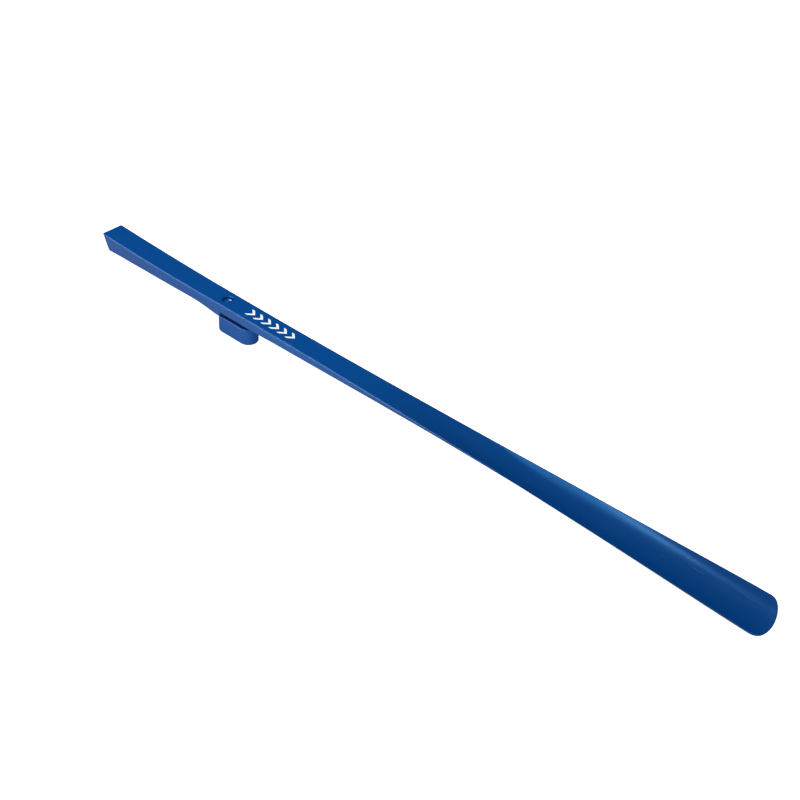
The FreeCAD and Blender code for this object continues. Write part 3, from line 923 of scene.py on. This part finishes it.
def white_ink(name):
    """White print, slightly thin in places, with pores that show the blue."""
    white, thin_white, pore_blue = (0.93, 0.94, 0.95), (0.86, 0.88, 0.92), (0.30, 0.42, 0.66)
    net = ShaderNet(name)
    pores = net.remap(net.noise(scale=2400.0, detail=3.0, rough=0.6), lo=0.30, hi=0.42)
    thin = net.remap(net.noise(scale=260.0, detail=3.0, rough=0.6), lo=0.3, hi=0.65)
    color = net.mix(net.remap(thin, lo=0.0, hi=1.0, to_hi=0.5), white, thin_white)
    color = net.mix(net.remap(pores, lo=0.0, hi=1.0, to_lo=0.22, to_hi=0.0), color, pore_blue)
    rough = net.plus(0.42, net.noise(scale=1700.0), gain=0.16)
    normal = net.bump(net.noise(scale=1700.0, detail=3.0, rough=0.6), distance=0.000010)
    return net.finish(color, rough, normal, Specular_IOR_Level=0.4)


HOLDER_SHADES = dict(deep=(0.0010, 0.0560, 0.262), bright=(0.0024, 0.0625, 0.284),
                     worn=(0.016, 0.105, 0.36))
body_blue = moulded_plastic("moulded_blue", deep=(0.0004, 0.0600, 0.262),
                            bright=(0.0010, 0.0665, 0.284), worn=(0.012, 0.105, 0.36),
                            rough=0.18)
holder_blue = moulded_plastic("moulded_blue_holder", **HOLDER_SHADES, rough=0.30)
peg_blue = moulded_plastic("moulded_blue_peg", **HOLDER_SHADES, rough=0.16)
cover_blue = moulded_plastic("moulded_blue_cover", deep=(0.0010, 0.045, 0.20),
                             bright=(0.003, 0.052, 0.23), worn=(0.02, 0.10, 0.32),
                             rough=0.48, peel=0.00001)
ink = white_ink("pad_print_white")
washer_black = rubber("washer_black", base=(0.004, 0.006, 0.012), dusty=(0.010, 0.013, 0.022),
                      rough=0.5, dot_scale=900.0, dot_depth=0.000004, specular=0.12)
pad_black = rubber("pad_black", base=(0.012, 0.012, 0.014), dusty=(0.035, 0.035, 0.036),
                   rough=0.72, dot_scale=650.0, dot_depth=0.00006, specular=0.35)
zinc = plated("zinc_plated", base=(0.60, 0.61, 0.62), dull=(0.47, 0.48, 0.50),
              rough=0.24, brush=(0.12, 1.0, 1.0))
nickel_sheet = plated("nickel_sheet", base=(0.55, 0.54, 0.52), dull=(0.44, 0.43, 0.42),
                      rough=0.28, brush=(0.05, 1.0, 1.0))
nickel = plated("nickel_bright", base=(0.66, 0.64, 0.61), dull=(0.55, 0.53, 0.50),
                rough=0.14, brush=(1.0, 1.0, 0.3))

FINISH = {"shoehorn_body": body_blue, "printed_mark": ink, "holder_case": holder_blue,
          "hang_peg": peg_blue, "pivot_washer": washer_black, "back_pad": pad_black,
          "back_cover": cover_blue, "peg_screw": zinc, "cover_screw": zinc,
          "yoke_plate": nickel_sheet, "upper_magnet": nickel, "lower_magnet": nickel}
for piece, ob in [*pieces.items(), *cad_nodes.items()]:
    ob.data.materials.clear()
    ob.data.materials.append(FINISH[piece])

# ----------------------------------------------------------------------- floor
FLOOR_HALF = 4
FLOOR_GLOW = 0.85       # the camera sees the floor brighter than it lights the object


def floor_material():
    net = ShaderNet("pale_floor")
    color = net.mix(net.noise(scale=25.0, detail=4.0, rough=0.6),
                    (0.90, 0.90, 0.90), (0.915, 0.915, 0.915))
    normal = net.bump(net.noise(scale=700.0, detail=3.0), distance=0.00002)
    rays = net.node("LightPath")
    glow = net.times(rays.outputs["Is Camera Ray"], FLOOR_GLOW)
    # painted shadow: the floor as seen in reflections is darker close to the object, where the
    # object's shade falls
    separate = net.node("SeparateXYZ")
    net.link(net.coords, separate.inputs[0])
    painted_reflection_shade = net.remap(net.math("ABSOLUTE", separate.outputs["Y"]),
                          lo=0.009, hi=0.036, to_lo=0.18, to_hi=0.54)
    color = net.mix(rays.outputs["Is Glossy Ray"], color, painted_reflection_shade)
    net.finish(color, 0.85, normal, Specular_IOR_Level=0.1,
               Emission_Color=(1.0, 1.0, 1.0), Emission_Strength=glow)
    # clear from below, so the underside can be looked at
    geometry = net.node("NewGeometry")
    clear = net.node("BsdfTransparent")
    pick = net.node("MixShader")
    net.link(geometry.outputs["Backfacing"], pick.inputs[0])
    net.link(net.shader.outputs[0], pick.inputs[1])
    net.link(clear.outputs[0], pick.inputs[2])
    net.link(pick.outputs[0], net.tree.nodes["Material Output"].inputs["Surface"])
    return net.mat


floor_mesh = bpy.data.meshes.new("floor")
floor_mesh.from_pydata([(x * FLOOR_HALF, y * FLOOR_HALF, 0)
                        for x, y in ((-1, -1), (1, -1), (1, 1), (-1, 1))], [], [[0, 1, 2, 3]])
floor = bpy.data.objects.new("floor", floor_mesh)
floor.location = (0.15, 0, -0.0001)
scene.collection.objects.link(floor)
floor.data.materials.append(floor_material())

# ----------------------------------------------------------------------- world
SKY = 0.50      # even sky for soft shade; reflections see a dark studio instead
world = bpy.data.worlds.new("studio")
scene.world = world
world.use_nodes = True
world_nodes, world_links = world.node_tree.nodes, world.node_tree.links
background = world_nodes["Background"]
world_rays = world_nodes.new("ShaderNodeLightPath")
sky = world_nodes.new("ShaderNodeMath")
sky.operation = "MULTIPLY"
sky.inputs[1].default_value = SKY
world_links.new(world_rays.outputs["Is Diffuse Ray"], sky.inputs[0])
shown = world_nodes.new("ShaderNodeMath")
shown.operation = "ADD"
world_links.new(sky.outputs[0], shown.inputs[0])
world_links.new(world_rays.outputs["Is Camera Ray"], shown.inputs[1])
world_links.new(shown.outputs[0], background.inputs["Strength"])
background.inputs["Color"].default_value = (1.0, 1.0, 1.0, 1.0)

# ---------------------------------------------------------------------- lights
WHITE = (1.0, 1.0, 1.0)


def add_light(name, kind, at, watt, color):
    light = bpy.data.lights.new(name, kind)
    light.energy, light.color = watt, color
    ob = bpy.data.objects.new(name, light)
    scene.collection.objects.link(ob)
    ob.location = at
    return ob


def area(name, at, aim, size, watt, diffuse=True, glossy=True, size_y=None, along=None,
         color=WHITE):
    """Area light; along, if given, fixes the direction of its long side."""
    ob = add_light(name, "AREA", at, watt, color)
    ob.data.size = size
    if size_y:
        ob.data.shape, ob.data.size_y = "RECTANGLE", size_y
    ob.rotation_mode = "QUATERNION"
    away = (Vector(at) - Vector(aim)).normalized()
    if along:
        away = (away - along * away.dot(along)).normalized()
        axes = Matrix((along, away.cross(along), away)).transposed()
        ob.rotation_quaternion = axes.to_quaternion()
    else:
        ob.rotation_quaternion = away.to_track_quat("Z", "Y")
    ob.visible_diffuse, ob.visible_glossy = diffuse, glossy
    return ob


def soft_spot(name, at, aim, degrees, blend, radius, watt, color=WHITE):
    ob = add_light(name, "SPOT", at, watt, color)
    ob.data.spot_size, ob.data.spot_blend = math.radians(degrees), blend
    ob.data.shadow_soft_size = radius
    ob.rotation_euler = (Vector(at) - Vector(aim)).to_track_quat("Z", "Y").to_euler()
    ob.visible_glossy = False


def tube(name, start, end, width, watt, color):
    """Tube light from start to end (x, y), seen only in reflections."""
    span = Vector((end[0] - start[0], end[1] - start[1], 0.0))
    middle = Vector(((start[0] + end[0]) / 2, (start[1] + end[1]) / 2, TUBE_Z))
    area(name, middle, TUBE_AIM, math.hypot(end[0] - start[0], end[1] - start[1]), watt,
         diffuse=False, size_y=width, along=span.normalized(), color=color)


def linked_collection(name, obs):
    collection = bpy.data.collections.new(name)
    for ob in obs:
        collection.objects.link(ob)
    return collection


KEY_AT = (-0.35, -0.30, 1.05)
area("key", at=KEY_AT, aim=(0.05, 0.0, 0.02), size=0.75, watt=3.7, glossy=False)
area("fill", at=(1.50, -0.50, 0.60), aim=(0.10, 0.0, 0.01), size=0.60, watt=4.5, glossy=False)

# soft spots over the handle and shaft, on their -Y side, and on the holder
soft_spot("handle_spot", at=KEY_AT, aim=(-0.085, 0.0, 0.02), degrees=27.0, blend=0.45,
          radius=0.06, watt=13.0)
soft_spot("side_spot", at=(0.02, -1.0, 0.22), aim=(0.045, 0.0, 0.02), degrees=29.0, blend=0.6,
          radius=0.15, watt=14.5, color=(0.90, 1.12, 0.86))
soft_spot("holder_spot", at=(0.90, -0.45, 0.10), aim=(0.030, 0.0, 0.0), degrees=3.2, blend=0.5,
          radius=0.02, watt=12.0, color=(1.4, 1.0, 0.75))

# tubes for the sheen along the handle's -Y edge and the trough's +Y wall
TUBE_Z, TUBE_AIM = 0.95, (0.30, 0.0, 0.02)
SHEEN, DEEP_SHEEN = (0.17, 0.54, 1.0), (0.07, 0.46, 1.0)
# name, start, end, width, watt, colour
TUBES = [("sheen_handle", (-1.15, -0.53), (-0.34, -0.53), 0.12, 4.2, SHEEN),
         ("sheen_start", (-0.285, 0.00), (-0.225, -0.26), 0.05, 0.38, DEEP_SHEEN),
         ("sheen_blade", (-0.225, -0.26), (-0.165, -0.47), 0.09, 0.43, DEEP_SHEEN),
         ("sheen_end", (-0.185, -0.49), (-0.135, -0.68), 0.11, 0.78, SHEEN)]
for tube_values in TUBES:
    tube(*tube_values)

# low softbox, reflected by the rounded -Y edges only
area("ridge", at=(-0.62, -0.88, 0.26), aim=(0.12, 0.0, 0.02), size=2.0, watt=15.5,
     diffuse=False, size_y=0.40, along=Vector((1, 0, 0)))
# small lamp that only the peg reflects: the glint on its dome
glint = area("glint", at=(-0.203, 0.334, 0.247), aim=(0.0, 0.0, 0.024), size=0.14, watt=0.9,
             diffuse=False, color=(0.6, 0.85, 1.0))
# soft light from below that the floor doesn't block, for views of the underside
blockers = linked_collection("object_only", (body, case, peg, washer, pad))
under = area("under", at=(-0.40, 0.55, -0.80), aim=(0.08, 0.0, 0.01), size=0.80, watt=4.0,
             glossy=False)
under.light_linking.blocker_collection = blockers
glint.light_linking.receiver_collection = linked_collection("peg_only", (peg,))

# ---------------------------------------------------------------------- camera
CAMERA_TURN, CAMERA_HEIGHT, CAMERA_ROLL = (
    math.radians(degrees) for degrees in (45.1859, 34.11649, 0.8649))
CAMERA_DISTANCE = 2.0
TARGET = Vector(((316.4725 - PEG_ROW) * MM, -0.0822 * MM, FACE_Z * MM))

backward = Vector((math.sin(CAMERA_TURN) * math.cos(CAMERA_HEIGHT),
                   -math.cos(CAMERA_TURN) * math.cos(CAMERA_HEIGHT), math.sin(CAMERA_HEIGHT)))
level_right = (-backward).cross(Vector((0, 0, 1))).normalized()
level_up = level_right.cross(-backward)
right = level_right * math.cos(CAMERA_ROLL) + level_up * math.sin(CAMERA_ROLL)
up = -level_right * math.sin(CAMERA_ROLL) + level_up * math.cos(CAMERA_ROLL)
camera_data = bpy.data.cameras.new("camera")
camera_data.sensor_width = 36.0
camera_data.lens = 128.155167
camera_data.clip_start, camera_data.clip_end = 0.05, 20.0
camera = bpy.data.objects.new("camera", camera_data)
scene.collection.objects.link(camera)
pose = Matrix((right, up, backward)).transposed().to_4x4()
pose.translation = TARGET + backward * CAMERA_DISTANCE
camera.matrix_world = pose
scene.camera = camera
scene.view_settings.view_transform = "Standard"
